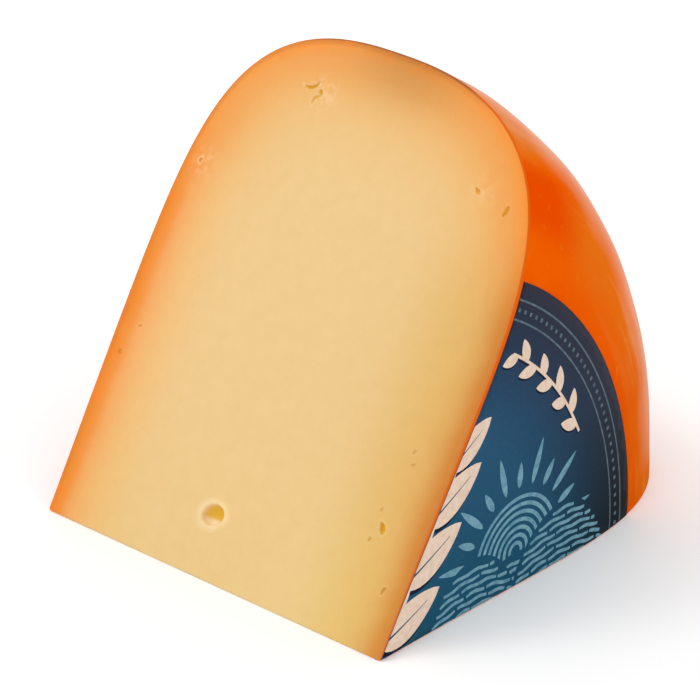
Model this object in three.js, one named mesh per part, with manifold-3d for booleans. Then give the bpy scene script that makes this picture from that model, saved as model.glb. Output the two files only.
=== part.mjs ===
// A wedge of semi-hard cheese, about a sixth of a small round wheel with an orange rind, standing on one cut.
// Millimetres, +Z up. The wheel's axis lies along X and its labelled flat faces +X. The front cut leans back
// and faces -Y, the other cut lies on the surface, and the rind is at the back.
// The origin is on the surface, under the middle of the wedge.

import * as THREE from "three";
import { mergeVertices } from "three/addons/utils/BufferGeometryUtils.js";
import Module from "manifold-3d";

const wasm = await Module();
wasm.setup();

// The wheel that the wedge is cut from
const WHEEL_RADIUS = 125;
const WHEEL_HALF_THICKNESS = 50.8;
const WEDGE_ANGLE = THREE.MathUtils.degToRad(60.5);

// Each flat of the wheel rounds over into the rind as a superellipse: "flat" is its power along the radius
// and "round" its power across the thickness. "rise" is how far the flat's middle stands out, or is dished.
const LABEL_FLAT = { side: 1, flat: 6.1, round: 2.18, rise: -3.3 };
const FAR_FLAT = { side: -1, flat: 6.4, round: 2.84, rise: 0.15 };

// The paper label: a disc glued a little off the middle of the wheel, cut together with the cheese
const LABEL_RADIUS = 88.9;
const LABEL_CENTRE = { back: 0.9, up: -1.7 };
const LABEL_THICKNESS = 0.3;
const LABEL_GAP = 0.3;

// Facets: stations from the middle of a flat to the rim, and steps round the whole wheel
const STATIONS = 34;
const WHEEL_STEPS = 156;
const LABEL_EDGE_STEPS = 180;
const PIT_STEPS = 12;
const MERGE_DISTANCE = 1e-4;

// Eyes and small openings in a cut. "across" runs along X, "out" from the wedge's sharp edge to the rind,
// and "turn" leans the opening's length from the "out" direction towards +X, in degrees.
const FRONT_PITS = [
  { across: -7.3, out: 14.6, width: 4.7, length: 6.0, depth: 2.2, turn: 72 },
  { across: -22.4, out: 111.6, width: 1.0, length: 3.4, depth: 0.7, turn: 66 },
  { across: -19.5, out: 110.8, width: 0.9, length: 1.9, depth: 0.6, turn: -25 },
  { across: -20.3, out: 109.2, width: 0.9, length: 2.6, depth: 0.4, turn: 35 },
  { across: 28.8, out: 102.6, width: 0.9, length: 2.0, depth: 0.6, turn: -65 },
  { across: 37.4, out: 100.6, width: 0.9, length: 2.8, depth: 0.7, turn: 10 },
  { across: -44.5, out: 87.2, width: 1.1, length: 1.2, depth: 0.5, turn: 0 },
  { across: -44.2, out: 47.2, width: 0.8, length: 1.3, depth: 0.3, turn: 80 },
  { across: -47.2, out: 40.0, width: 1.1, length: 1.1, depth: 0.5, turn: 0 },
  { across: 36.1, out: 26.9, width: 1.4, length: 2.7, depth: 1.0, turn: -38 },
  { across: 34.3, out: 30.6, width: 0.7, length: 1.2, depth: 0.3, turn: 5 },
  { across: 34.0, out: 23.7, width: 0.9, length: 1.0, depth: 0.4, turn: 0 },
  { across: 37.9, out: 42.2, width: 0.8, length: 1.1, depth: 0.3, turn: 40 },
  { across: 37.1, out: 44.9, width: 0.8, length: 1.4, depth: 0.3, turn: 15 },
  { across: 41.9, out: 14.6, width: 0.9, length: 1.8, depth: 0.5, turn: 25 },
];
const BASE_PITS = [
  { across: 14, out: 71, width: 3.6, length: 3.4, depth: 1.6, turn: 0 },
  { across: -30, out: 38, width: 1.3, length: 2.6, depth: 0.8, turn: 30 },
  { across: -12, out: 96, width: 1.2, length: 2.2, depth: 0.7, turn: -35 },
];

const CHEESE_LOOK = { color: 0xe9c987, roughness: 0.5, metalness: 0 };
const LABEL_LOOK = { color: 0x1e4a6b, roughness: 0.4, metalness: 0 };

// Height of a flat above the wheel's mid-plane at one radius, measured towards its own side
function flatHeight(flat, radius) {
  const share = Math.min(radius / WHEEL_RADIUS, 1);
  const body = WHEEL_HALF_THICKNESS * (1 - share ** flat.flat) ** (1 / flat.round);
  return body + flat.rise * (1 - share ** 2) ** 2;
}

// Radii from the middle of a flat to the rim, close together where the shoulder is tight
function stationRadii(flat) {
  const radii = [0];
  for (let i = 1; i < STATIONS; i += 1) {
    const swing = (i / STATIONS) * (Math.PI / 2);
    radii.push(WHEEL_RADIUS * Math.sin(swing) ** (2 / flat.flat));
  }
  return radii;
}

function toManifold(geometry) {
  const bare = geometry.clone();
  bare.deleteAttribute("normal");
  bare.deleteAttribute("uv");
  const merged = mergeVertices(bare, MERGE_DISTANCE);
  const vertProperties = Float32Array.from(merged.attributes.position.array);
  const triVerts = Uint32Array.from(merged.index.array);
  return new wasm.Manifold(new wasm.Mesh({ numProp: 3, vertProperties, triVerts }));
}

function toGeometry(manifold) {
  const { vertProperties, triVerts } = manifold.getMesh();
  const geometry = new THREE.BufferGeometry();
  geometry.setAttribute("position", new THREE.BufferAttribute(vertProperties, 3));
  geometry.setIndex(new THREE.BufferAttribute(triVerts, 1));
  geometry.computeVertexNormals();
  return geometry;
}

// Revolves [radius, height] points, listed from the -X side to the +X side, about the wheel's axis
function revolve(profile) {
  const points = profile.map(([radius, height]) => new THREE.Vector2(radius, height));
  const lathe = new THREE.LatheGeometry(points, WHEEL_STEPS);
  lathe.rotateZ(-Math.PI / 2);
  return toManifold(lathe);
}

// Extrudes a shape drawn in (back, up) along X, from one height along the axis to another
function extrudeAlongAxis(shape, from, to) {
  const solid = new THREE.ExtrudeGeometry(shape, {
    depth: to - from,
    bevelEnabled: false,
    curveSegments: LABEL_EDGE_STEPS,
  });
  const turn = new THREE.Matrix4().makeBasis(
    new THREE.Vector3(0, 1, 0),
    new THREE.Vector3(0, 0, 1),
    new THREE.Vector3(1, 0, 0),
  );
  solid.applyMatrix4(turn);
  solid.translate(from, 0, 0);
  return toManifold(solid);
}

// The space between the two cuts, with its floor raised by a clearance
function betweenCuts(clearance) {
  const reach = WHEEL_RADIUS * 2;
  const near = clearance / Math.tan(WEDGE_ANGLE);
  const shape = new THREE.Shape();
  shape.moveTo(near, clearance);
  shape.lineTo(reach, clearance);
  shape.lineTo(reach * Math.cos(WEDGE_ANGLE), reach * Math.sin(WEDGE_ANGLE));
  shape.closePath();
  return extrudeAlongAxis(shape, -WHEEL_RADIUS, WHEEL_RADIUS);
}

// Half of the wheel's section, as [radius, height] points from the middle of one flat to the rim
function halfProfile(flat) {
  return stationRadii(flat).map((radius) => [radius, flat.side * flatHeight(flat, radius)]);
}

function wheelProfile() {
  return [...halfProfile(FAR_FLAT), [WHEEL_RADIUS, 0], ...halfProfile(LABEL_FLAT).reverse()];
}

// One opening in a cut that rises at an angle from the surface
function pit({ across, out, width, length, depth, turn }, cutAngle) {
  const bowl = new THREE.SphereGeometry(1, PIT_STEPS, PIT_STEPS / 2);
  bowl.scale(width / 2, length / 2, depth);
  bowl.rotateZ(THREE.MathUtils.degToRad(-turn));
  bowl.rotateX(cutAngle);
  bowl.translate(across, out * Math.cos(cutAngle), out * Math.sin(cutAngle));
  return toManifold(bowl);
}

function cheeseSolid() {
  let solid = revolve(wheelProfile()).intersect(betweenCuts(0));
  for (const opening of FRONT_PITS) {
    solid = solid.subtract(pit(opening, WEDGE_ANGLE));
  }
  for (const opening of BASE_PITS) {
    solid = solid.subtract(pit(opening, 0));
  }
  return solid;
}

// The label follows the flat and the start of the shoulder, a small gap outside the rind
function labelSolid() {
  const farthest = LABEL_RADIUS + Math.hypot(LABEL_CENTRE.back, LABEL_CENTRE.up);
  const radii = stationRadii(LABEL_FLAT);
  const covered = radii.slice(0, radii.findIndex((radius) => radius > farthest) + 1);
  const inner = covered.map((radius) => [radius, flatHeight(LABEL_FLAT, radius) + LABEL_GAP]);
  const outer = inner.map(([radius, height]) => [radius, height + LABEL_THICKNESS]);
  const sheet = revolve([...inner, ...outer.reverse()]);
  const disc = new THREE.Shape();
  disc.absarc(LABEL_CENTRE.back, LABEL_CENTRE.up, LABEL_RADIUS, 0, Math.PI * 2);
  const round = extrudeAlongAxis(disc, 0, WHEEL_RADIUS);
  return sheet.intersect(round).intersect(betweenCuts(LABEL_GAP));
}

function piece(name, solid, look) {
  const mesh = new THREE.Mesh(toGeometry(solid), new THREE.MeshStandardMaterial(look));
  mesh.name = name;
  return mesh;
}

const group = new THREE.Group();
group.add(piece("cheese", cheeseSolid(), CHEESE_LOOK));
group.add(piece("label", labelSolid(), LABEL_LOOK));

// Stand the wedge over the origin
const box = new THREE.Box3().setFromObject(group, true);
const middle = box.getCenter(new THREE.Vector3());
group.position.set(-middle.x, -middle.y, -box.min.z);

export default group;
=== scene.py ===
"""The looks of a cheese wedge: cuts with eyes and cracks, a glossy orange rind and a printed paper label.

Lengths here are millimetres in the wheel's frame, X along the wheel's axis from its mid-plane, Y back from
the wedge's sharp edge and Z up, and become metres in the row's frame as each mesh is made.
"""

import math

import bmesh
import bpy
import numpy as np
from mathutils import Matrix, Vector
from mathutils.geometry import delaunay_2d_cdt


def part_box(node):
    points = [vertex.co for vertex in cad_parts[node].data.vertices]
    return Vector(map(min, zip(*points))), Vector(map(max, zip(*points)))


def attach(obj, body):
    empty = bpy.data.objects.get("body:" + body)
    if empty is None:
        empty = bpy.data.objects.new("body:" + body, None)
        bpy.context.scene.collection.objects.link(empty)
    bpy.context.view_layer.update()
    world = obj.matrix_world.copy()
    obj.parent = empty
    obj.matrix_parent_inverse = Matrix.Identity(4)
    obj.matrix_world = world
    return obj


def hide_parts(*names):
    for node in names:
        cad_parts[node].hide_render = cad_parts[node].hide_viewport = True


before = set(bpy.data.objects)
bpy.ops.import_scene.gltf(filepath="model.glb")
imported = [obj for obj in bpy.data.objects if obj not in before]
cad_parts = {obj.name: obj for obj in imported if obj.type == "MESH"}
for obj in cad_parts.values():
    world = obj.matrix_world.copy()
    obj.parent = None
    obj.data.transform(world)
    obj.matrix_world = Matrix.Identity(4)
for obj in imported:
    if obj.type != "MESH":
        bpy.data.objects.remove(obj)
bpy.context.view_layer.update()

MM = 0.001

# The wheel that the wedge is cut from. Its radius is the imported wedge's depth, and the rest follows from it
CHEESE_LOW, CHEESE_HIGH = (np.array(corner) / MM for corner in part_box("cheese"))
RADIUS = CHEESE_HIGH[1] - CHEESE_LOW[1]
WEDGE_ANGLE = math.radians(60.5)
HALF_THICKNESS = 0.4064 * RADIUS

# Each flat rounds over as a superellipse: its power along the radius, its power across the thickness,
# and how far its middle stands out or is dished
LABEL_FLAT = {"side": 1, "flat": 6.1, "round": 2.18, "rise": -0.0264 * RADIUS}
FAR_FLAT = {"side": -1, "flat": 6.4, "round": 2.84, "rise": 0.0012 * RADIUS}

# Where the wheel's mid-plane and the wedge's sharp edge lie in the row's frame
ORIGIN = np.array([CHEESE_LOW[0] + HALF_THICKNESS + FAR_FLAT["rise"], CHEESE_LOW[1], 0.0])

# Directions: along the wheel's axis, from the sharp edge along each cut, and out of each cut
AXIS = np.array([1.0, 0.0, 0.0])
OUT_FRONT = np.array([0.0, math.cos(WEDGE_ANGLE), math.sin(WEDGE_ANGLE)])
OUT_BASE = np.array([0.0, 1.0, 0.0])
NORMAL_FRONT = np.array([0.0, -math.sin(WEDGE_ANGLE), math.cos(WEDGE_ANGLE)])
NORMAL_BASE = np.array([0.0, 0.0, -1.0])

# How far the sharp edges are rounded, in how many passes, the rows of vertices that this needs, the size of
# the other faces, and how near to each other the vertices of a seam lie
EDGE_ROUNDING = 0.8
ROUNDING_PASSES = 8
EDGE_ROWS = (0.0, 0.12, 0.26, 0.42, 0.6, 0.82, 1.15, 1.7, 2.5)
MESH_STEP = 1.4
SEAM_GAP = 0.01

# The paper label and its print
LABEL_CENTRE = np.array([0.9, -1.7])
LABEL_RADIUS = 0.711 * RADIUS
LABEL_THICKNESS = 0.12
LABEL_LIFT = 0.02
LABEL_EDGE_GAP = 0.3


def seeded(seed):
    """Random numbers that are the same in each run."""
    return np.random.default_rng(seed)


def linear(red, green, blue):
    """A colour as seen on a screen, 0 to 255, as the linear colour that a shader takes."""
    parts = []
    for value in (red, green, blue):
        share = value / 255
        parts.append(share / 12.92 if share <= 0.04045 else ((share + 0.055) / 1.055) ** 2.4)
    return (*parts, 1.0)


def smooth_step(value, low, high):
    share = np.clip((value - low) / (high - low), 0, 1)
    return share * share * (3 - 2 * share)


# The wheel's shape

# Where a flat rounds over, as a share of the radius, and the points of its section before and after it
SHOULDER_START = 0.8
LEVEL_POINTS = 300
SHOULDER_POINTS = 700


def flat_height(flat, radius):
    """Height of a flat above the wheel's mid-plane, towards its own side."""
    share = np.clip(radius / RADIUS, 0, 1)
    body = HALF_THICKNESS * (1 - share ** flat["flat"]) ** (1 / flat["round"])
    return body + flat["rise"] * (1 - share ** 2) ** 2


def half_section(flat):
    """Closely spaced (height, radius) points from the middle of one flat to the rim."""
    swing = np.linspace(math.asin(SHOULDER_START ** (flat["flat"] / 2)), math.pi / 2, SHOULDER_POINTS)
    level = np.linspace(0, SHOULDER_START * RADIUS, LEVEL_POINTS)[:-1]
    shoulder = RADIUS * np.sin(swing) ** (2 / flat["flat"])
    radius = np.concatenate([level, shoulder])
    return np.stack([flat["side"] * flat_height(flat, radius), radius], -1)


def graded(total, step):
    """Places from 0 to total, close together at both ends and about a step apart between."""
    rows = np.array(EDGE_ROWS)
    inner = total - 2 * rows[-1]
    middle = rows[-1] + np.linspace(0, inner, max(2, round(inner / step)) + 1)
    return np.concatenate([rows[:-1], middle, total - rows[-2::-1]])


def resample(curve, places):
    """The curve's points at given lengths along it."""
    lengths = np.concatenate([[0], np.cumsum(np.linalg.norm(np.diff(curve, axis=0), axis=1))])
    return np.stack([np.interp(places, lengths, curve[:, axis]) for axis in range(curve.shape[1])], -1)


def curve_length(curve):
    return float(np.linalg.norm(np.diff(curve, axis=0), axis=1).sum())


def inward_normals(curve):
    """Unit normals of the section curve, pointing into the cheese."""
    tangent = np.gradient(curve, axis=0)
    normal = np.stack([tangent[:, 1], -tangent[:, 0]], -1)
    return normal / np.linalg.norm(normal, axis=1, keepdims=True)


SECTION_FINE = np.concatenate([half_section(FAR_FLAT), half_section(LABEL_FLAT)[-2::-1]])
SECTION = resample(SECTION_FINE, graded(curve_length(SECTION_FINE), MESH_STEP))
SECTION_INWARD = inward_normals(SECTION_FINE)


def nearest_on_section(points):
    """Depth of each (height, radius) point below the rind, and the number of the nearest section point."""
    numbers = np.empty(len(points), dtype=int)
    batch = 2000
    for start in range(0, len(points), batch):
        part = points[start:start + batch]
        apart = np.linalg.norm(part[:, None, :] - SECTION_FINE[None, :, :], axis=2)
        numbers[start:start + batch] = apart.argmin(axis=1)
    depths = ((points - SECTION_FINE[numbers]) * SECTION_INWARD[numbers]).sum(axis=1)
    return depths, numbers


def rounded(points, rind_depth, rind_normals):
    """Moves points near the wedge's edges inwards, on to edges rounded between the rind and the cuts."""
    cuts = [np.broadcast_to(normal, points.shape) for normal in (NORMAL_FRONT, NORMAL_BASE)]
    normals = np.stack([rind_normals, *cuts], 1)
    start = np.stack([-rind_depth, points @ NORMAL_FRONT, points @ NORMAL_BASE], -1)
    moved = points.copy()
    for _ in range(ROUNDING_PASSES):
        distance = start + np.einsum("nij,nj->ni", normals, moved - points)
        over = np.maximum(distance + EDGE_ROUNDING, 0)
        length = np.linalg.norm(over, axis=1)
        outside = np.minimum(distance.max(axis=1), -EDGE_ROUNDING) + length
        near = (over > 0).sum(axis=1) > 1
        gradient = np.einsum("ni,nij->nj", over, normals) / np.maximum(length, 1e-9)[:, None]
        steep = np.maximum((gradient ** 2).sum(axis=1), 0.2)
        shift = np.where(near, outside / steep, 0)
        moved = moved - gradient * shift[:, None]
    return moved


# Eyes and small openings in the cuts, in the same places as in the solid. Across runs along X, out from the
# wedge's sharp edge to the rind, and turn leans the length from out towards +X. Bend curves the length, lip
# is how pale the rim is and, on a large pit, how bright the painted highlight on its lower inner wall is,
# tint how deep the inside, and crumbs how much pale, torn cheese lies round it

FRONT_PITS = [
    dict(across=-7.3, out=14.6, width=4.7, length=6.0, depth=2.2, turn=72, lip_and_highlight=0.9, tint=0.9),
    dict(across=-22.4, out=111.6, width=1.0, length=3.4, depth=0.7, turn=66, lip_and_highlight=0.4, tint=0.9, bend=0.65),
    dict(across=-19.5, out=110.8, width=0.9, length=1.9, depth=0.6, turn=-25, lip_and_highlight=0.4, tint=0.8, crumbs=1.0),
    dict(across=-20.3, out=109.2, width=0.9, length=2.6, depth=0.4, turn=35, lip_and_highlight=0.6, tint=0.5, bend=-0.5),
    dict(across=28.8, out=102.6, width=0.9, length=2.0, depth=0.6, turn=-65, lip_and_highlight=0.2, tint=0.7, crumbs=0.5),
    dict(across=37.4, out=100.6, width=0.9, length=2.8, depth=0.7, turn=10, lip_and_highlight=0.1, tint=0.8, bend=0.4),
    dict(across=-44.5, out=87.2, width=1.1, length=1.2, depth=0.5, turn=0, lip_and_highlight=0.7, tint=0.4, crumbs=0.7),
    dict(across=-44.2, out=47.2, width=0.8, length=1.3, depth=0.3, turn=80, lip_and_highlight=0.5, tint=0.1),
    dict(across=-47.2, out=40.0, width=1.1, length=1.1, depth=0.5, turn=0, lip_and_highlight=0.0, tint=0.5),
    dict(across=36.1, out=26.9, width=1.4, length=2.7, depth=1.0, turn=-38, lip_and_highlight=0.3, tint=1.0),
    dict(across=34.3, out=30.6, width=0.7, length=1.2, depth=0.3, turn=5, lip_and_highlight=0.1, tint=0.1),
    dict(across=34.0, out=23.7, width=0.9, length=1.0, depth=0.4, turn=0, lip_and_highlight=0.2, tint=0.3),
    dict(across=37.9, out=42.2, width=0.8, length=1.1, depth=0.3, turn=40, lip_and_highlight=0.1, tint=0.0),
    dict(across=37.1, out=44.9, width=0.8, length=1.4, depth=0.3, turn=15, lip_and_highlight=0.2, tint=0.0),
    dict(across=41.9, out=14.6, width=0.9, length=1.8, depth=0.5, turn=25, lip_and_highlight=0.4, tint=0.2),
]
BASE_PITS = [
    dict(across=14, out=71, width=3.6, length=3.4, depth=1.6, turn=0, lip_and_highlight=0.8, tint=0.8),
    dict(across=-30, out=38, width=1.3, length=2.6, depth=0.8, turn=30, lip_and_highlight=0.4, tint=0.6),
    dict(across=-12, out=96, width=1.2, length=2.2, depth=0.7, turn=-35, lip_and_highlight=0.4, tint=0.6),
]

# Rings of vertices round a pit, in its half sizes, the space round them, and the vertices in a ring
PIT_RINGS = (0.0, 0.3, 0.55, 0.75, 0.88, 0.95, 0.985, 1.02, 1.1, 1.25, 1.5, 1.8)
PIT_CLEARANCE = 0.15
SMALL_PIT_STEPS = 16
LARGE_PIT_STEPS = 30

LARGE_PIT_WIDTH = 3
SMALL_PIT_UNEVENNESS = 0.16
LARGE_PIT_UNEVENNESS = 0.03
BOWL_POWER = 0.9

# How deep the cut sinks round a pit, as a share of its depth, and how far and wide, in its half sizes
LIP_SINK = 0.07
LIP_SINK_END = 1.5
LIP_SINK_WIDTH = 0.5

# Where a pit's inner colour ends, its pale lip starts and ends, where the painted highlight on the lower
# inner wall of a large one ends, and how bright that highlight is
TINT_END = (0.72, 1.06)
LIP_START = (0.85, 1.05)
LIP_END = (1.15, 1.8)
LOW_SIDE_END = (0.8, 1.1)
LOW_SIDE_PAINTED_LIGHT = 2.4

# How far the pale, torn cheese reaches round a pit, and how far its middle lies from the pit's
CRUMBS_REACH = 3.4
CRUMBS_ASIDE = 1.2


def pit_swell(pit, angle):
    """How far a pit's outline stands out or in at an angle, as a share of its half size."""
    uneven = LARGE_PIT_UNEVENNESS if pit["width"] > LARGE_PIT_WIDTH else SMALL_PIT_UNEVENNESS
    start = pit["across"] * 1.7 + pit["out"]
    return 1 + uneven * (np.sin(2 * angle + start) + 0.6 * np.sin(3 * angle + 2.1 * start))


def pit_reach(pit, points):
    """How far each (across, out) point is from a pit's middle, as a share of the pit's half size."""
    turn = math.radians(pit["turn"])
    across = points[:, 0] - pit["across"]
    out = points[:, 1] - pit["out"]
    along = (across * math.sin(turn) + out * math.cos(turn)) / (pit["length"] / 2)
    beside = across * math.cos(turn) - out * math.sin(turn)
    beside = beside - pit.get("bend", 0) * (0.5 - np.clip(along, -1.5, 1.5) ** 2)
    beside = beside / (pit["width"] / 2)
    return np.hypot(beside, along) / pit_swell(pit, np.arctan2(along, beside))


def pit_ring_points(pit):
    """Rings of (across, out) points that follow a pit's outline, inside and round it."""
    turn = math.radians(pit["turn"])
    count = LARGE_PIT_STEPS if pit["width"] > LARGE_PIT_WIDTH else SMALL_PIT_STEPS
    points = []
    for ring, reach in enumerate(PIT_RINGS):
        for step in range(count if reach else 1):
            angle = 2 * math.pi * (step + 0.5 * (ring % 2)) / count
            swell = float(pit_swell(pit, np.array(angle)))
            share = reach * swell * math.sin(angle)
            beside = reach * swell * math.cos(angle) * pit["width"] / 2
            beside += pit.get("bend", 0) * (0.5 - min(abs(share), 1.5) ** 2)
            along = share * pit["length"] / 2
            points.append((
                pit["across"] + beside * math.cos(turn) + along * math.sin(turn),
                pit["out"] - beside * math.sin(turn) + along * math.cos(turn),
            ))
    return np.array(points)


def pit_fields(pits, points):
    """Depth below the cut, and how much each point belongs to a pit, its pale lip with a painted highlight
    low in a large one, and its crumbs.
    """
    depth = np.zeros(len(points))
    inside = np.zeros(len(points))
    lip_and_highlight = np.zeros(len(points))
    crumbs = np.zeros(len(points))
    for pit in pits:
        large = pit["width"] > LARGE_PIT_WIDTH
        reach = pit_reach(pit, points)
        bowl = pit["depth"] * np.sqrt(np.clip(1 - reach ** 2, 0, 1)) ** BOWL_POWER
        near = np.clip(LIP_SINK_END - reach, 0, LIP_SINK_WIDTH) / LIP_SINK_WIDTH
        depth = np.maximum(depth, bowl + LIP_SINK * pit["depth"] * near ** 2)
        # Painted light: the lower inner wall of a large pit, which faces the light, is painted pale and its
        # amber tint thinned.
        low = smooth_step((pit["out"] - points[:, 1]) / pit["width"], 0.1, 0.35) * large
        tint = pit["tint"] * (1 - smooth_step(reach, *TINT_END)) * (1 - 0.8 * low)
        inside = np.maximum(inside, tint)
        lit_low_side = low * (1 - smooth_step(reach, *LOW_SIDE_END))
        lip_and_highlight = np.maximum(lip_and_highlight, LOW_SIDE_PAINTED_LIGHT * pit["lip_and_highlight"] * lit_low_side)
        band = smooth_step(reach, *LIP_START) * (1 - smooth_step(reach, *LIP_END))
        lip_and_highlight = np.maximum(lip_and_highlight, pit["lip_and_highlight"] * band)
        away = np.hypot(points[:, 0] - pit["across"] - CRUMBS_ASIDE, points[:, 1] - pit["out"])
        crumbs = np.maximum(crumbs, pit.get("crumbs", 0) * np.exp(-(away / CRUMBS_REACH) ** 2))
    return depth, {"pit": inside, "lip_and_highlight": lip_and_highlight, "crumbs": crumbs}


# The cheese: two cut faces and the rind between them, as one closed mesh

# Points in a row along the wedge's sharp edge, and how far a point keeps from the cut's outline
SHARP_EDGE_POINTS = 75
LEAST_DEPTH = 0.05

# Parts of a cut, from its sharp edge outwards, as shares of the radius
FOOT = (0, 0.36)
CROWN = (0.585, 0.8)
AGED_TOP = (0.86, 0.99)
CRUST = (0.955, 0.98)

# The change from the far side to the label side, and the widths of the aged patch and of the crust
LABEL_SIDE = (0, 36)
AGED_WIDTH = 15
CRUST_WIDTH = (0.1, 0.6)


def cut_outline():
    """The cut's outline in (across, out): the section curve, then the wedge's sharp edge back again."""
    edge = graded(SECTION[-1, 0] - SECTION[0, 0], MESH_STEP)[1:-1]
    straight = np.stack([SECTION[-1, 0] - edge, np.zeros(len(edge))], -1)
    return np.concatenate([SECTION, straight])


def cut_inner_points(pits):
    """Rows of points along the outline, a grid inside them, and rings round each pit."""
    inward = SECTION_INWARD[nearest_on_section(SECTION)[1]]
    rows = [SECTION + inward * depth for depth in EDGE_ROWS[1:]]
    across = np.linspace(SECTION[0, 0], SECTION[-1, 0], SHARP_EDGE_POINTS)
    rows += [np.stack([across, np.full(len(across), depth)], -1) for depth in EDGE_ROWS[1:]]
    edge_points = np.concatenate(rows)
    across, out = np.meshgrid(
        np.arange(-HALF_THICKNESS, HALF_THICKNESS, MESH_STEP),
        np.arange(0, RADIUS, MESH_STEP * math.sqrt(0.75)),
    )
    across[1::2] += MESH_STEP / 2
    grid = np.stack([across.ravel(), out.ravel()], -1)
    margin = EDGE_ROWS[-1] + MESH_STEP / 2
    grid = grid[grid[:, 1] > margin]
    depth, _ = nearest_on_section(grid)
    grid = grid[(grid[:, 1] < np.interp(grid[:, 0], *upper_limit())) & (depth > margin)]
    depth, _ = nearest_on_section(edge_points)
    kept = (edge_points[:, 1] > LEAST_DEPTH) & (depth > LEAST_DEPTH)
    edge_points = edge_points[kept & (edge_points[:, 1] < np.interp(edge_points[:, 0], *upper_limit()))]
    points = np.concatenate([edge_points, grid])
    for pit in pits:
        points = points[pit_reach(pit, points) > PIT_RINGS[-1] + PIT_CLEARANCE]
    rings = [pit_ring_points(pit) for pit in pits]
    return np.concatenate([points, *rings])


def upper_limit():
    """The rim's radius over the thickness, for telling what lies inside the outline."""
    rim = SECTION_FINE[SECTION_FINE[:, 1] > 0.3 * RADIUS]
    order = np.argsort(rim[:, 0])
    return rim[order, 0], rim[order, 1]


def anticlockwise(outline):
    """The outline in the order that the triangulation needs."""
    ahead = np.roll(outline, -1, axis=0)
    twice_area = (outline[:, 0] * ahead[:, 1] - outline[:, 1] * ahead[:, 0]).sum()
    return outline if twice_area > 0 else outline[::-1]


def triangulate(outline, inner, shapes=()):
    """Triangles over an outline, with inner points and further outlines kept as edges.

    Returns the points, the triangles, and for each triangle the outlines that hold it, where 0 is the first.
    """
    points = []
    faces = []
    for shape in (outline, *shapes):
        faces.append(list(range(len(points), len(points) + len(shape))))
        points += [tuple(point) for point in anticlockwise(shape)]
    points += [tuple(point) for point in inner]
    vectors = [Vector(point) for point in points]
    verts, _, triangles, _, _, origins = delaunay_2d_cdt(vectors, [], faces, 1, 1e-4, True)
    held = [(triangle, set(origin)) for triangle, origin in zip(triangles, origins) if 0 in origin]
    used = sorted({corner for triangle, _ in held for corner in triangle})
    number = {corner: place for place, corner in enumerate(used)}
    flat = np.array([tuple(verts[corner]) for corner in used])
    faces = [[number[corner] for corner in triangle] for triangle, _ in held]
    return flat, faces, [origin for _, origin in held]


def cut_face(pits, out_direction, normal, facing):
    """One cut as (points, triangles, fields), with its pits sunk below the plane."""
    flat, triangles, _ = triangulate(cut_outline(), cut_inner_points(pits))
    depth, pit_parts = pit_fields(pits, flat)
    rind_depth, number = nearest_on_section(flat)
    plane = flat[:, :1] * AXIS + flat[:, 1:] * out_direction
    outward = -SECTION_INWARD[number]
    rind_normals = outward[:, :1] * AXIS + outward[:, 1:] * out_direction
    points = rounded(plane, rind_depth, rind_normals) - depth[:, None] * normal
    if not facing:
        triangles = [triangle[::-1] for triangle in triangles]
    return points, triangles, {**cut_fields(flat, rind_depth), **pit_parts}


def cut_fields(flat, rind_depth):
    """What the cut's material reads. Ripeness is 0 at the rind and 1 well inside, crown and foot are the two
    ends of the cut, aged is a greyer patch in the crown, and crust its thin brown edge."""
    across = flat[:, 0]
    out = flat[:, 1] / RADIUS
    return {
        "ripeness": np.clip(rind_depth / DEEPEST_TONE, 0, 1),
        "label_side": smooth_step(across, *LABEL_SIDE),
        "crown": smooth_step(out, *CROWN),
        "aged": np.exp(-((across - 1) / AGED_WIDTH) ** 2) * smooth_step(out, *AGED_TOP),
        "crust": smooth_step(out, *CRUST) * (1 - smooth_step(rind_depth, *CRUST_WIDTH)),
        "foot": 1 - smooth_step(out, *FOOT),
    }


# The coat of the rind: how deep it lies below the solid's skin, how high its waves are, how many there are,
# and the shortest and longest
COAT_DEPTH = 0.16
WAVE_HEIGHT = 0.03
WAVES = 14
SHORTEST_WAVE = 14
LONGEST_WAVE = 34

# Where the coat starts, by the distance from the cuts and by the radius
COAT_FROM_CUT = (0.5, 9)
COAT_FROM_RADIUS = (60, 95)

# Parts of the rind by their radius
DEEP_START = (95, 103)
DEEP_END = (109, 116)
DULL_START = (86, 106)
RIM_START = (110, 118)
BROWN_START = (122.0, 123.4)

# Parts of the rind by their distance from the cuts, and by their height
EDGE_WIDTH = (0.4, 1.1)
BROWN_WIDTH = (1.0, 2.4)
AWAY_FROM_FRONT = (12, 34)
GLOSS_FROM_FRONT = (4, 26)
GLOSS_HEIGHT = (5, 28)


def rind_waves(angle, length):
    """Low waves of the coat over the rind, in mm, from sines of a few sizes."""
    draw = seeded(5)
    waves = np.zeros_like(angle)
    for _ in range(WAVES):
        size = draw.uniform(SHORTEST_WAVE, LONGEST_WAVE)
        heading = draw.uniform(0, math.tau)
        phase = draw.uniform(0, math.tau)
        place = angle * RADIUS * math.cos(heading) + length * math.sin(heading)
        waves += np.sin(place * math.tau / size + phase) * size / LONGEST_WAVE
    return WAVE_HEIGHT * waves


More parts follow.
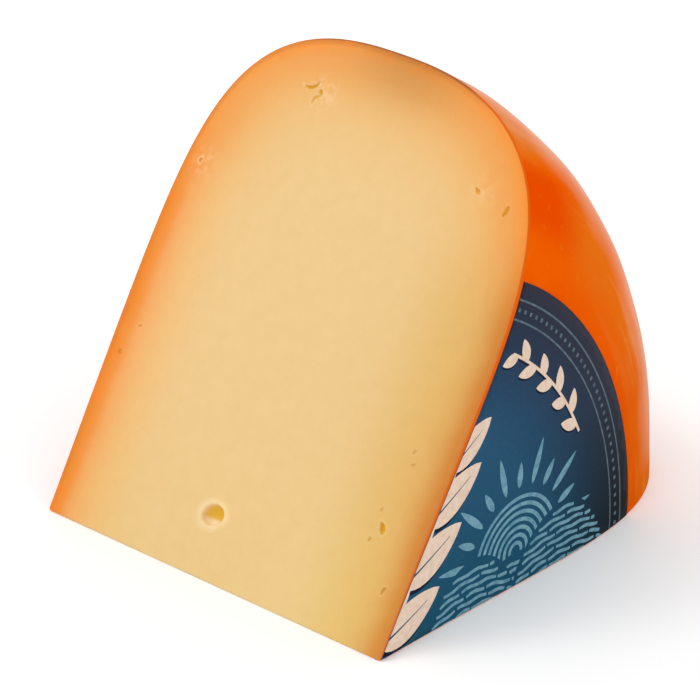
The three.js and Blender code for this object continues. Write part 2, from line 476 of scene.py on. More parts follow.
def rind_face():
    """The rind and both flats of the wheel as a grid of quads between the cuts."""
    angles = graded(WEDGE_ANGLE * RADIUS, MESH_STEP) / RADIUS
    lengths = graded(curve_length(SECTION_FINE), MESH_STEP)
    inward = SECTION_INWARD[nearest_on_section(SECTION)[1]]
    rows, columns = len(SECTION), len(angles)
    out = np.stack([np.zeros(columns), np.cos(angles), np.sin(angles)], -1)
    points = SECTION[:, None, :1] * AXIS + SECTION[:, None, 1:] * out[None, :, :]
    normals = -(inward[:, None, :1] * AXIS + inward[:, None, 1:] * out[None, :, :])
    points = points.reshape(-1, 3)
    normals = normals.reshape(-1, 3)
    points = rounded(points, np.zeros(len(points)), normals)
    angle = np.tile(angles, rows)
    length = np.repeat(lengths, columns)
    radius = np.repeat(SECTION[:, 1], columns)
    from_cut = np.minimum(angle, WEDGE_ANGLE - angle) * radius
    calm = smooth_step(from_cut, *COAT_FROM_CUT) * smooth_step(radius, *COAT_FROM_RADIUS)
    sunk = (COAT_DEPTH + rind_waves(angle, length)) * calm
    points = points - normals * np.clip(sunk, 0, None)[:, None]
    quads = []
    for row in range(rows - 1):
        for column in range(columns - 1):
            corner = row * columns + column
            quads.append((corner, corner + columns, corner + columns + 1, corner + 1))
    return points, quads, rind_fields(angle, length, radius)


def rind_fields(angle, length, radius):
    """What the rind's material reads. Edge is along both cuts, crown the thin brown rim along the front one,
    shoulder where the coat is dull and a paler orange is painted in as sheen, deep where it is reddest, and
    gloss how much it shines. Around and along place the noise of its painted highlight streaks."""
    from_cut = np.minimum(angle, WEDGE_ANGLE - angle) * radius
    from_front = (WEDGE_ANGLE - angle) * radius
    away = smooth_step(from_front, *AWAY_FROM_FRONT)
    height = radius * np.sin(angle)
    shine = 0.4 + 0.6 * smooth_step(from_front, *GLOSS_FROM_FRONT)
    dull_and_sheen = away * smooth_step(radius, *DULL_START)
    deep = smooth_step(radius, *DEEP_START) * (1 - smooth_step(radius, *DEEP_END))
    return {
        "edge": 1 - smooth_step(from_cut, *EDGE_WIDTH),
        "crown": smooth_step(radius, *BROWN_START) * (1 - smooth_step(from_front, *BROWN_WIDTH)),
        "shoulder": np.maximum(dull_and_sheen, smooth_step(radius, *RIM_START)),
        "deep": (1 - away) * deep,
        "gloss": smooth_step(height, *GLOSS_HEIGHT) * shine,
        "height": height / RADIUS,
        "around": angle * RADIUS * MM,
        "along": length * MM,
    }


def to_row(points):
    """Points of the wheel's frame, in mm, as points of the row's frame, in metres."""
    return (points + ORIGIN) * MM


def new_object(name, data):
    thing = bpy.data.objects.new(name, data)
    bpy.context.collection.objects.link(thing)
    return thing


def make_mesh(name, points, faces):
    mesh = bpy.data.meshes.new(name)
    mesh.from_pydata([tuple(point) for point in to_row(points)], [], [tuple(face) for face in faces])
    return new_object(name, mesh)


def add_field(piece, name, values):
    """Stores a number at each vertex, for the material to read."""
    field = piece.data.attributes.new(name, "FLOAT", "POINT")
    field.data.foreach_set("value", np.asarray(values, dtype=np.float32))


def close_seams(piece, distance):
    """Joins the vertices that the faces share along their borders, and drops what collapses."""
    shape = bmesh.new()
    shape.from_mesh(piece.data)
    bmesh.ops.remove_doubles(shape, verts=shape.verts, dist=distance)
    bmesh.ops.dissolve_degenerate(shape, edges=shape.edges, dist=distance / 10)
    bmesh.ops.recalc_face_normals(shape, faces=shape.faces)
    shape.to_mesh(piece.data)
    shape.free()


def build_cheese(cut_material, rind_material):
    front = cut_face(FRONT_PITS, OUT_FRONT, NORMAL_FRONT, True)
    base = cut_face(BASE_PITS, OUT_BASE, NORMAL_BASE, False)
    rind = rind_face()
    points, faces, slots = [], [], []
    fields = {name: [] for name in {**front[2], **rind[2]}}
    start = 0
    for (part_points, part_faces, part_fields), slot in ((front, 0), (base, 0), (rind, 1)):
        points.append(part_points)
        faces += [tuple(start + corner for corner in face) for face in part_faces]
        slots += [slot] * len(part_faces)
        for name, values in fields.items():
            values.append(part_fields.get(name, np.zeros(len(part_points))))
        start += len(part_points)
    piece = make_mesh("cheese_body", np.concatenate(points), faces)
    piece.data.materials.append(cut_material)
    piece.data.materials.append(rind_material)
    piece.data.polygons.foreach_set("material_index", slots)
    for name, values in fields.items():
        add_field(piece, name, np.concatenate(values))
    close_seams(piece, SEAM_GAP * MM)
    piece.data.polygons.foreach_set("use_smooth", [True] * len(piece.data.polygons))
    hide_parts("cheese")
    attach(piece, "root")


# The label's print: outlines of plain shapes, in (back, up) from the wedge's sharp edge

# Where the rings near the rim start and end, in degrees above the surface, two thin rings, and one of dots
RING_SPAN = (-3, 64)
RING_RADII = (85.0, 80.6)
RING_WIDTH = 0.45
DOTS = {"radius": 82.8, "size": 0.9, "step": 1.7}

# The sprig: an arc of a stem, in degrees above the surface, and its leaves
SPRIG = {"radius": 73.5, "start": 27, "end": 57.5, "count": 9}
STEM_WIDTH = 0.7
SPRIG_LEAF_LENGTH = 6.6
SPRIG_LEAF_WIDTH = 3.0

# The sun, its rings and its rays
SUN = {"middle": np.array([45.5, 9.5]), "radius": 14.5, "rays": 13}
SUN_HEART = 2.0
SUN_RING_PITCH = 1.9
LONG_RAY = 11.0
SHORT_RAY = 6.5
RAY_WIDTH = 1.9
RAY_GAP = 1.4

# Hills: middle, half width and top of each, and the seed of its strokes
HILLS = ((46.0, 10.0, 7.5, 13), (31.0, 15.0, 12.0, 11), (61.5, 17.0, 14.5, 12))
HILL_PITCH = 1.85
HILL_SAG = 2.4
HILL_MARGIN = 1.4
HILL_FOOT = -3.0
HILL_STROKE_WIDTH = 0.92

# Leaves that grow out from under the front cut: place along it, length, width and lean from it, in degrees
LARGE_LEAVES = ((3, 21, 9.4, 44), (17, 21, 9.6, 40), (31, 20, 9.0, 37), (44, 16, 7.6, 35))
SMALL_LEAVES = ((9, 12, 5.0, 14), (23, 13, 5.2, 13), (37, 12, 5.0, 12))
CUT_HEADING = math.degrees(WEDGE_ANGLE)
LEAF_ROOT_DEPTH = 2.0
LEAF_BEND = 1.6
LEAF_STEPS = 14
VEIN_SHARE = 0.075

# How far the dark shade of a cream shape lies from it, and the share of that for the sprig
SHADE_STEP = np.array([-0.75, -0.95])
SPRIG_SHADE = 0.4

# The order of the inks in the label's material slots
INK = {"paper": 0, "cream": 1, "dark": 2, "pale": 3, "faint": 4}


def polar(radius, angle):
    """A point of the label by its distance from the label's middle and its angle above the surface."""
    turn = math.radians(angle)
    return LABEL_CENTRE + radius * np.array([math.cos(turn), math.sin(turn)])


def leaf_middle(root, length, heading, bend, share):
    """Points along a leaf's middle, at shares of its length, and the direction across it."""
    turn = math.radians(heading)
    along = np.array([math.cos(turn), math.sin(turn)])
    beside = np.array([-along[1], along[0]])
    return root + np.outer(share * length, along) + np.outer(bend * share ** 2, beside), beside


def leaf(root, length, width, heading, bend=0.0):
    """A pointed leaf from its root, heading in degrees above the surface."""
    share = np.linspace(0, 1, LEAF_STEPS)
    middle, beside = leaf_middle(root, length, heading, bend, share)
    half = width / 2 * np.sin(math.pi * share ** 0.8) ** 0.75
    left = middle + half[:, None] * beside
    right = middle - half[:, None] * beside
    return np.concatenate([left, right[-2:0:-1]])


def ribbon(path, widths):
    """A band along a path, with its width at each point."""
    tangent = np.gradient(path, axis=0)
    tangent /= np.linalg.norm(tangent, axis=1, keepdims=True)
    beside = np.stack([-tangent[:, 1], tangent[:, 0]], -1) * np.asarray(widths)[:, None] / 2
    return np.concatenate([path + beside, (path - beside)[::-1]])


def arc_band(radius, width, start, end, steps):
    """A band along an arc round the label's middle."""
    path = np.array([polar(radius, angle) for angle in np.linspace(start, end, steps)])
    return ribbon(path, [width] * steps)


def dot_ring(radius, size, step):
    """Small square dots along the rings, with a step in degrees between them."""
    half = math.degrees(size / radius) / 2
    middles = np.arange(*RING_SPAN, step)
    return [arc_band(radius, size, middle - half, middle + half, 3) for middle in middles]


def garland(radius, start, end, count):
    """A thin stem along an arc, with short leaves that branch from it to either side in turn."""
    shapes = [arc_band(radius, STEM_WIDTH, start, end, 20)]
    for number in range(count):
        angle = start + (number + 0.5) * (end - start) / count
        turn = 52 if number % 2 else 128
        length = SPRIG_LEAF_LENGTH - 0.5 * (number % 3)
        shapes.append(leaf(polar(radius, angle), length, SPRIG_LEAF_WIDTH, angle + turn))
    return shapes


def hill_ground(middle, half_width, top, _):
    """The blank ground of a hill, which hides what is printed behind it."""
    share = np.linspace(-1, 1, 25)
    up = top * (1 - share ** 2) ** 0.625 - HILL_SAG * share ** 2 + HILL_MARGIN
    crest = np.stack([middle + half_width * share, up], -1)
    foot = np.array([[middle + half_width, HILL_FOOT], [middle - half_width, HILL_FOOT]])
    return np.concatenate([crest, foot])[::-1]


def hill_strokes(middle, half_width, top, seed):
    """Pale strokes in curved rows that together draw a low, rounded hill."""
    draw = seeded(seed)
    shapes = []
    for height in np.arange(0.9, top, HILL_PITCH):
        reach = half_width * math.sqrt(max(0.04, 1 - (height / top) ** 1.6))
        start = middle - reach + draw.uniform(0, 1.5)
        while start < middle + reach - 1.2:
            end = min(start + draw.uniform(4.5, 13.0), middle + reach)
            back = np.linspace(start, end, 8)
            wave = 0.22 * np.sin(back * 0.9 + height)
            rise = -HILL_SAG * ((back - middle) / half_width) ** 2
            path = np.stack([back, np.maximum(height + rise + wave, -0.5)], -1)
            taper = np.sin(np.linspace(0.5, math.pi - 0.5, 8)) ** 0.4
            shapes.append(ribbon(path, HILL_STROKE_WIDTH * taper))
            start = end + draw.uniform(0.5, 0.9)
    return shapes


def sun(middle, radius, rays):
    """A rising sun: rings round its middle, and rays that are long and short in turn."""
    shapes = []
    turns = np.radians(np.linspace(-12, 192, 26))
    for reach in np.arange(SUN_HEART, radius, SUN_RING_PITCH):
        path = middle + reach * np.stack([np.cos(turns), np.sin(turns)], -1)
        shapes.append(ribbon(path, [SUN_RING_PITCH / 2] * len(turns)))
    for number in range(rays):
        turn = math.radians(-8 + 196 * number / (rays - 1))
        along = np.array([math.cos(turn), math.sin(turn)])
        length = LONG_RAY if number % 2 else SHORT_RAY
        root = middle + (radius + RAY_GAP) * along
        shapes.append(leaf(root, length, RAY_WIDTH, math.degrees(turn)))
    return shapes


def cut_leaf_root(place):
    """Where a leaf grows out from under the front cut, from its place along the cut."""
    return place * OUT_FRONT[1:] + LEAF_ROOT_DEPTH * NORMAL_FRONT[1:]


def cut_leaf(place, length, width, lean):
    """A leaf that grows out from under the front cut."""
    return leaf(cut_leaf_root(place), length, width, CUT_HEADING - lean, LEAF_BEND)


def cut_leaf_vein(place, length, width, lean):
    """The tapered line down the middle of such a leaf."""
    share = np.linspace(0.05, 0.8, 8)
    path, _ = leaf_middle(cut_leaf_root(place), length, CUT_HEADING - lean, LEAF_BEND, share)
    return ribbon(path, VEIN_SHARE * width * (1 - share))


def print_shapes():
    """Every printed outline with its ink, the later ones on top."""
    leaves = [cut_leaf(*sizes) for sizes in SMALL_LEAVES + LARGE_LEAVES]
    veins = [cut_leaf_vein(*sizes) for sizes in LARGE_LEAVES]
    sprig = garland(**SPRIG)
    groups = [
        ([arc_band(radius, RING_WIDTH, *RING_SPAN, 60) for radius in RING_RADII], "faint"),
        (dot_ring(**DOTS), "faint"),
        (sun(**SUN), "pale"),
    ]
    for hill in HILLS:
        groups.append(([hill_ground(*hill)], "paper"))
        groups.append((hill_strokes(*hill), "pale"))
    groups += [
        ([shape + SHADE_STEP * SPRIG_SHADE for shape in sprig], "dark"),
        (sprig, "cream"),
        ([shape + SHADE_STEP for shape in leaves], "dark"),
        (leaves, "cream"),
        (veins, "paper"),
    ]
    return [(shape, INK[ink]) for shapes, ink in groups for shape in shapes]


# The label's outline: the angle that its rim stays below, in radians, and the points along its edges
LABEL_RIM_END = 1.4
LABEL_RIM_POINTS = 400
LABEL_SIDE_POINTS = 62

# The points inside it: their step, how far back and up they reach, and their space to its edges
LABEL_STEP = 1.9
LABEL_REACH = (92.0, 80.0)
CUT_MARGIN = 1.1
RIM_MARGIN = 0.9


def label_outline():
    """The cut disc: from near the wedge's sharp edge, along the surface, round the rim and back down."""
    gap = LABEL_EDGE_GAP
    low_angle = math.asin((gap - LABEL_CENTRE[1]) / LABEL_RADIUS)
    rim = []
    for angle in np.linspace(low_angle, LABEL_RIM_END, LABEL_RIM_POINTS):
        point = LABEL_CENTRE + LABEL_RADIUS * np.array([math.cos(angle), math.sin(angle)])
        if point @ NORMAL_FRONT[1:] > -gap:
            break
        rim.append(point)
    rim = np.array(rim)[::4]
    corner = np.array([gap / math.tan(WEDGE_ANGLE / 2), gap])
    lit_low_side = np.linspace(corner, rim[0], LABEL_SIDE_POINTS)[:-1]
    front_side = np.linspace(rim[-1], corner, LABEL_SIDE_POINTS)[1:-1]
    return np.concatenate([lit_low_side, rim, front_side])


def on_rind(flat):
    """Points of the label's outline plane laid on the rounded rind, with the rind's normals."""
    radius = np.hypot(flat[:, 0], flat[:, 1])
    step = 0.05
    farther = flat_height(LABEL_FLAT, radius + step)
    nearer = flat_height(LABEL_FLAT, np.abs(radius - step))
    slope = (farther - nearer) / (2 * step)
    height = flat_height(LABEL_FLAT, radius)
    points = np.stack([height, flat[:, 0], flat[:, 1]], -1)
    out = flat / np.maximum(radius, 1e-6)[:, None]
    normals = np.stack([np.ones(len(flat)), -slope * out[:, 0], -slope * out[:, 1]], -1)
    normals /= np.linalg.norm(normals, axis=1, keepdims=True)
    return rounded(points, np.zeros(len(points)), normals), normals


def label_grid():
    """Points inside the label's outline, so that its triangles follow the curve of the shoulder."""
    back, up = np.meshgrid(*[np.arange(1.0, reach, LABEL_STEP) for reach in LABEL_REACH])
    grid = np.stack([back.ravel(), up.ravel()], -1)
    from_front = -(grid @ NORMAL_FRONT[1:])
    from_rim = LABEL_RADIUS - np.linalg.norm(grid - LABEL_CENTRE, axis=1)
    return grid[(from_front > CUT_MARGIN) & (from_rim > RIM_MARGIN) & (grid[:, 1] > CUT_MARGIN)]


def build_label(materials):
    shapes = print_shapes()
    flat, triangles, origins = triangulate(label_outline(), label_grid(), [shape for shape, _ in shapes])
    inks = []
    for origin in origins:
        printed = [number for number in origin if number > 0]
        inks.append(shapes[max(printed) - 1][1] if printed else 0)
    points, normals = on_rind(flat)
    lower = points + normals * LABEL_LIFT
    upper = points + normals * (LABEL_LIFT + LABEL_THICKNESS)
    count = len(flat)
    faces = [tuple(triangle) for triangle in triangles]
    sides = {}
    for triangle in triangles:
        sides.update(dict.fromkeys(zip(triangle, triangle[1:] + triangle[:1])))
    walls = [(first, second) for first, second in sides if (second, first) not in sides]
    faces += [tuple(count + corner for corner in triangle[::-1]) for triangle in triangles]
    faces += [(second, first, count + first, count + second) for first, second in walls]
    inks += [0] * (len(triangles) + len(walls))
    piece = make_mesh("label_paper", np.concatenate([upper, lower]), faces)
    for material in materials:
        piece.data.materials.append(material)
    piece.data.polygons.foreach_set("material_index", inks)
    reach = np.linalg.norm(flat - LABEL_CENTRE, axis=1) / LABEL_RADIUS
    add_field(piece, "reach", np.tile(reach, 2))
    add_field(piece, "height", np.tile(flat[:, 1] / LABEL_RADIUS, 2))
    smooth = [True] * len(triangles) + [False] * (len(triangles) + len(walls))
    piece.data.polygons.foreach_set("use_smooth", smooth)
    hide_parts("label")
    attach(piece, "root")


# Materials

class Shader:
    """A material with a Principled shader and short calls for its nodes."""

    def __init__(self, name, **inputs):
        self.material = bpy.data.materials.new(name)
        self.material.use_nodes = True
        self.tree = self.material.node_tree
        self.surface = self.tree.nodes["Principled BSDF"]
        self.feed(self.surface, **inputs)

    def link(self, source, target):
        self.tree.links.new(source, target)

    def put(self, socket, value):
        """Links a socket to another node's output, or sets it to a plain value."""
        if hasattr(value, "is_linked"):
            self.link(value, socket)
        else:
            socket.default_value = value

    def feed(self, node, **inputs):
        for name, value in inputs.items():
            self.put(node.inputs[name.replace("_", " ")], value)

    def node(self, kind, **inputs):
        node = self.tree.nodes.new(kind)
        self.feed(node, **inputs)
        return node

    def field(self, name):
        node = self.node("ShaderNodeAttribute")
        node.attribute_name = name
        return node.outputs["Fac"]

    def noise(self, scale, detail=3.0, roughness=0.5, stretch=(1, 1, 1)):
        place = self.node("ShaderNodeTexCoord").outputs["Object"]
        mapping = self.node("ShaderNodeMapping", Vector=place, Scale=stretch)
        node = self.node("ShaderNodeTexNoise", Scale=scale, Detail=detail, Roughness=roughness)
        self.link(mapping.outputs["Vector"], node.inputs["Vector"])
        return node.outputs["Fac"]

    def wound_noise(self, around, along, detail=3.0):
        """Noise with its own scales round the wheel and along its section."""
        turn = self.times(self.field("around"), around)
        length = self.times(self.field("along"), along)
        place = self.node("ShaderNodeCombineXYZ", X=turn, Y=length)
        node = self.node("ShaderNodeTexNoise", Vector=place.outputs["Vector"], Scale=1.0, Detail=detail)
        return node.outputs["Fac"]

    def math(self, operation, first, second, third=None):
        node = self.node("ShaderNodeMath")
        node.operation = operation
        for number, value in enumerate((first, second, third)):
            if value is not None:
                self.put(node.inputs[number], value)
        return node.outputs["Value"]

    def times(self, first, second):
        return self.math("MULTIPLY", first, second)

    def spread(self, value, low, high, to_low=0.0, to_high=1.0):
        node = self.node("ShaderNodeMapRange", Value=value, From_Min=low, From_Max=high)
        self.feed(node, To_Min=to_low, To_Max=to_high)
        return node.outputs["Result"]

    def ramp(self, value, stops):
        node = self.node("ShaderNodeValToRGB", Fac=value)
        ramp = node.color_ramp
        while len(ramp.elements) < len(stops):
            ramp.elements.new(0.5)
        for element, (place, colour) in zip(ramp.elements, stops):
            element.position = place
            element.color = colour
        return node.outputs["Color"]

    def mix(self, share, first, second, blend="MIX"):
        node = self.node("ShaderNodeMix")
        node.data_type = "RGBA"
        node.blend_type = blend
        for number, value in ((0, share), (6, first), (7, second)):
            self.put(node.inputs[number], value)
        return node.outputs[2]

    def bump(self, height, strength, distance):
        node = self.node("ShaderNodeBump", Height=height, Strength=strength, Distance=distance)
        self.link(node.outputs["Normal"], self.surface.inputs["Normal"])

    def paint(self, colour):
        self.link(colour, self.surface.inputs["Base Color"])


# Colours of the cut by depth below the rind, in mm, on its far side, its label side and its crown
FAR_SIDE_TONES = [
    (0, (222, 126, 42)), (2, (242, 142, 46)), (4, (244, 152, 68)), (6, (246, 170, 97)),
    (9, (245, 183, 114)), (13, (243, 194, 126)), (20, (240, 201, 140)), (30, (240, 204, 145)),
]
# The label side's tones are darker than the far side's, partly as painted shade.
LABEL_SIDE_TONES = [
    (0, (210, 128, 58)), (2, (215, 139, 57)), (4, (220, 156, 80)), (6, (225, 170, 94)),
    (9, (229, 182, 106)), (13, (231, 187, 112)), (20, (232, 193, 124)), (30, (237, 200, 138)),
]
# Partly painted light: the crown's tone at the rind is raised so that the rounded edge, which the lamp leaves
# in shade, still looks lit.
CROWN_TONES = [
    (0, (250, 148, 56)), (2, (246, 159, 72)), (4, (243, 165, 86)), (7, (243, 171, 94)),
    (10, (242, 180, 106)), (14, (241, 190, 121)), (20, (240, 198, 134)), (30, (240, 203, 143)),
]
DEEPEST_TONE = 30
LIGHT_ON_CUT = 1.06


def tone_stops(tones):
    """Colour stops for a ramp over depth, with the light that falls on the cut taken out."""
    stops = []
    for depth, colour in tones:
        own_colour = [part / LIGHT_ON_CUT for part in linear(*colour)[:3]]
        stops.append((depth / DEEPEST_TONE, (*own_colour, 1.0)))
    return stops


def cut_material():
    """Pale yellow cheese that deepens to orange towards the rind, with pale lips on its amber openings and a
    painted highlight low inside the large eye.
    """
    shader = Shader("cut_cheese", Subsurface_Weight=0.12, Subsurface_Scale=0.003)
    shader.feed(shader.surface, Subsurface_Radius=(1.0, 0.6, 0.25))
    depth = shader.field("ripeness")
    label_side = shader.field("label_side")
    pit = shader.field("pit")
    drift = shader.spread(shader.noise(55, 3), 0.3, 0.7, -0.022, 0.022)
    ripeness = shader.math("ADD", depth, drift)
    far = shader.ramp(ripeness, tone_stops(FAR_SIDE_TONES))
    near = shader.ramp(ripeness, tone_stops(LABEL_SIDE_TONES))
    crown = shader.ramp(ripeness, tone_stops(CROWN_TONES))
    sides = shader.mix(label_side, far, near)
    body = shader.mix(shader.field("crown"), sides, crown)
    # On the far side a greyer rim at the crown takes that painted light back off.
    rim = shader.spread(depth, 0.0, 0.06, 1.0, 0.0)
    far_side = shader.math("SUBTRACT", 1.0, label_side)
    far_rim = shader.times(shader.times(rim, far_side), shader.field("crown"))
    rimmed = shader.mix(far_rim, body, linear(212, 212, 222), "MULTIPLY")
    old = shader.mix(shader.field("aged"), rimmed, linear(226, 232, 236), "MULTIPLY")
    foot_tint = shader.mix(label_side, linear(252, 254, 247), linear(258, 266, 266))
    footed = shader.mix(shader.field("foot"), old, foot_tint, "MULTIPLY")
    crusted = shader.mix(shader.field("crust"), footed, linear(170, 98, 48))
    blotch = shader.spread(shader.noise(240, 3, 0.6), 0.5, 0.68)
    outer = shader.spread(depth, 0.02, 0.13, 1.0, 0.0)
    stained = shader.times(shader.times(blotch, outer), far_side)
    blotched = shader.mix(shader.times(stained, 0.55), crusted, linear(255, 126, 34))
    mottle = shader.spread(shader.noise(320, 4, 0.6), 0.35, 0.65)
    mottled = shader.mix(mottle, blotched, linear(253, 252, 249), "MULTIPLY")
    torn = shader.spread(shader.noise(560, 3, 0.6), 0.44, 0.66, 0.0, 0.5)
    crumbs = shader.times(shader.field("crumbs"), torn)
    crumbed = shader.mix(crumbs, mottled, linear(254, 212, 168))
    inner = shader.mix(pit, crumbed, linear(234, 184, 16))
    broken = shader.spread(shader.noise(320, 1), 0.38, 0.62, 0.3, 0.62)
    # The pale lips, and the painted highlight on the large eye's lower inner wall.
    lipped = shader.mix(shader.times(shader.field("lip_and_highlight"), broken), inner, linear(252, 226, 180))
    shader.paint(lipped)
    moist = shader.spread(pit, 0.3, 0.9, 0.5, 0.22)
    gloss = shader.spread(pit, 0.3, 0.9, 0.15, 0.35)
    shader.feed(shader.surface, Roughness=moist, Specular_IOR_Level=gloss)
    grain = shader.math("ADD", shader.noise(900, 3), shader.times(shader.noise(200, 3), 1.2))
    shader.bump(grain, 0.1, 0.0004)
    return shader.material


def rind_material():
    """Smooth orange coat, a little cloudy, with painted shade low down, a dull shoulder with painted sheen
    and painted highlight streaks, and sheen at its outline.
    """
    shader = Shader("orange_rind", Roughness=0.28)
    cloud = shader.spread(shader.noise(26, 3), 0.35, 0.65)
    body = shader.mix(cloud, linear(237, 86, 0), linear(243, 103, 1))
    # Painted shade: the coat is darkened towards the floor.
    low = shader.spread(shader.field("height"), 0.0, 0.4, 1.0, 0.0)
    shaded_towards_floor = shader.mix(low, body, linear(230, 210, 255), "MULTIPLY")
    reddened = shader.mix(shader.field("deep"), shaded_towards_floor, linear(234, 76, 0))
    speck = shader.spread(shader.noise(420, 2), 0.64, 0.76, 0.0, 0.2)
    specked = shader.mix(speck, reddened, linear(250, 150, 40))
    # On the shoulder a paler, yellower orange stands for a dull coat and partly for painted sheen, and pale
    # streaks drawn out round the wheel are painted highlights.
    streak = shader.spread(shader.noise(42, 4, 0.55, (1.6, 0.6, 0.6)), 0.42, 0.58)
    dull_and_sheen_share = shader.math("MULTIPLY_ADD", streak, 0.18, 0.4)
    dull_and_sheen = shader.times(shader.field("shoulder"), dull_and_sheen_share)
    dulled_and_sheened = shader.mix(dull_and_sheen, specked, linear(216, 130, 34))
    drawn_out = shader.spread(shader.wound_noise(28, 300), 0.52, 0.7)
    streak_highlight = shader.times(drawn_out, shader.field("shoulder"))
    streak_highlighted = shader.mix(shader.times(streak_highlight, 0.28), dulled_and_sheened, linear(240, 156, 84))
    side_edge = shader.mix(shader.field("edge"), streak_highlighted, linear(226, 100, 24))
    shader.paint(shader.mix(shader.field("crown"), side_edge, linear(158, 88, 40)))
    turned = shader.node("ShaderNodeLayerWeight", Blend=0.5)
    sheen = shader.spread(turned.outputs["Facing"], 0.7, 0.86, 0.0, 0.042)
    uneven = shader.math("MULTIPLY_ADD", streak, 0.8, 0.6)
    level = shader.times(shader.times(sheen, uneven), shader.field("gloss"))
    shader.feed(shader.surface, Specular_IOR_Level=level)
    swell = shader.math("ADD", shader.noise(60, 3), shader.times(shader.noise(700, 2), 0.12))
    shader.bump(swell, 0.22, 0.001)
    return shader.material


def paper_material():
    """Blue paper that darkens to navy at the rim, with painted shade that darkens it and turns it greener
    towards the floor, nearly black where the rim meets the surface.
    """
    shader = Shader("label_blue", Roughness=0.5, Specular_IOR_Level=0.03)
    reach = shader.field("reach")
    body = shader.ramp(reach, [
        (0.0, linear(38, 88, 122)),
        (0.6, linear(37, 84, 116)),
        (0.72, linear(35, 72, 102)),
        (0.84, linear(38, 56, 80)),
        (0.93, linear(42, 49, 66)),
        (1.0, linear(48, 48, 62)),
    ])
    # Painted shade: darker and greener towards the floor, and darkest low down near the rim.
    low = shader.spread(shader.field("height"), 0.0, 0.5, 1.0, 0.0)
    paper_shaded_low = shader.mix(low, body, linear(158, 232, 222), "MULTIPLY")
    lowest = shader.spread(shader.field("height"), 0.05, 0.4, 1.0, 0.0)
    outer = shader.spread(reach, 0.66, 0.95)
    rimmed = shader.mix(shader.times(lowest, outer), paper_shaded_low, linear(170, 158, 146), "MULTIPLY")
    fibre = shader.spread(shader.noise(1500, 2), 0.3, 0.7)
    shader.paint(shader.mix(fibre, rimmed, linear(240, 240, 240), "MULTIPLY"))
    shader.bump(shader.noise(500, 3), 0.08, 0.0003)
    return shader.material


def ink_material(name, colour, worn):
    """Opaque ink, a little uneven where the paper shows through."""
    shader = Shader(name, Roughness=0.55, Specular_IOR_Level=0.03)
    patch = shader.spread(shader.noise(700, 3), 0.35, 0.7)
    shader.paint(shader.mix(patch, colour, worn))
    shader.bump(shader.noise(500, 3), 0.08, 0.0003)
    return shader.material


def floor_material():
    """White floor that glows a little, as a light table does."""
    shader = Shader("floor_white", Roughness=0.6, Emission_Strength=0.1)
    tone = shader.spread(shader.noise(3, 2), 0.3, 0.7)
    shader.paint(shader.mix(tone, (0.93, 0.93, 0.93, 1), (0.95, 0.95, 0.95, 1)))
    return shader.material


# Stage, light and camera

CAMERA = {"azimuth": 38.953, "elevation": 26.701, "roll": 2.306, "distance": 1005.3}
FOCAL_PIXELS = 4500
PHOTO_PIXELS = 700
SENSOR = 36.0

# The point that the camera looks at, and how far it is then moved right and up across the view
AIM = np.array([0.0, 43.27, 48.08])
AIM_SHIFT = (0.517, -4.368)

# In metres
FLOOR_HALF = 3.0
LIGHT_AIM = (0, 0, 0.05)
FARTHEST_SEEN = 20


def view_axes(azimuth, elevation, roll=0.0):
    """The camera's right, up and back directions."""
    turn, rise, tip = (math.radians(angle) for angle in (azimuth, elevation, roll))
    back = Vector((math.sin(turn) * math.cos(rise), -math.cos(turn) * math.cos(rise), math.sin(rise)))
    right = Vector((0, 0, 1)).cross(back).normalized()
    up = back.cross(right)
    tipped_right = right * math.cos(tip) + up * math.sin(tip)
    tipped_up = up * math.cos(tip) - right * math.sin(tip)
    return tipped_right, tipped_up, back


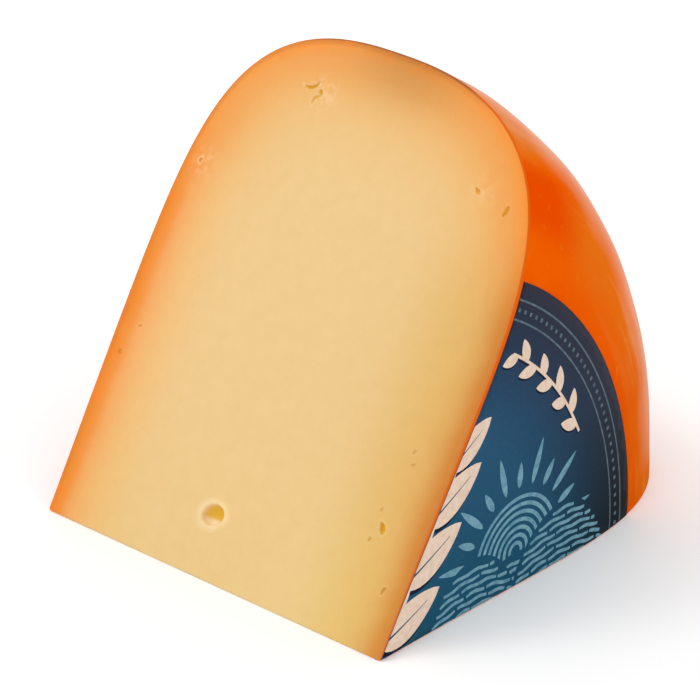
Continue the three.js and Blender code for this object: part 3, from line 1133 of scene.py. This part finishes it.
def add_camera():
    right, up, back = view_axes(CAMERA["azimuth"], CAMERA["elevation"], CAMERA["roll"])
    aim = Vector(to_row(AIM)) + (right * AIM_SHIFT[0] + up * AIM_SHIFT[1]) * MM
    data = bpy.data.cameras.new("camera")
    data.sensor_width = SENSOR
    data.lens = SENSOR * FOCAL_PIXELS / PHOTO_PIXELS
    data.clip_end = FARTHEST_SEEN
    camera = new_object("camera", data)
    turn = Matrix((right, up, back)).transposed()
    camera.matrix_world = Matrix.Translation(aim + back * CAMERA["distance"] * MM) @ turn.to_4x4()
    bpy.context.scene.camera = camera


def add_light(name, azimuth, elevation, distance, size, brightness):
    """A soft rectangular light of one brightness over its face, aimed at the middle of the wedge."""
    right, up, back = view_axes(azimuth, elevation)
    data = bpy.data.lights.new(name, "AREA")
    data.shape = "RECTANGLE"
    data.size, data.size_y = size
    data.energy = brightness * math.pi * size[0] * size[1]
    light = new_object(name, data)
    turn = Matrix((right, up, back)).transposed()
    light.matrix_world = Matrix.Translation(Vector(LIGHT_AIM) + back * distance) @ turn.to_4x4()


def add_stage():
    mesh = bpy.data.meshes.new("floor")
    ends = ((-1, -1), (1, -1), (1, 1), (-1, 1))
    corners = [(side * FLOOR_HALF, end * FLOOR_HALF, 0) for side, end in ends]
    mesh.from_pydata(corners, [], [(0, 1, 2, 3)])
    floor = new_object("floor", mesh)
    mesh.materials.append(floor_material())
    world = bpy.data.worlds.new("studio")
    world.use_nodes = True
    background = world.node_tree.nodes["Background"]
    background.inputs["Color"].default_value = (1, 1, 1, 1)
    background.inputs["Strength"].default_value = 0.92
    bpy.context.scene.world = world
    add_light("key", azimuth=-50, elevation=60, distance=1.0, size=(0.35, 0.35), brightness=4.6)
    add_light("back", azimuth=170, elevation=14, distance=1.2, size=(1.2, 0.5), brightness=0.4)
    bpy.context.scene.view_settings.view_transform = "Standard"


def main():
    build_cheese(cut_material(), rind_material())
    inks = [
        paper_material(),
        ink_material("ink_cream", linear(232, 208, 188), linear(222, 194, 172)),
        ink_material("ink_dark", linear(12, 22, 42), linear(18, 32, 56)),
        ink_material("ink_pale", linear(118, 160, 176), linear(84, 134, 154)),
        ink_material("ink_faint", linear(96, 112, 124), linear(72, 90, 104)),
    ]
    build_label(inks)
    add_stage()
    add_camera()


main()
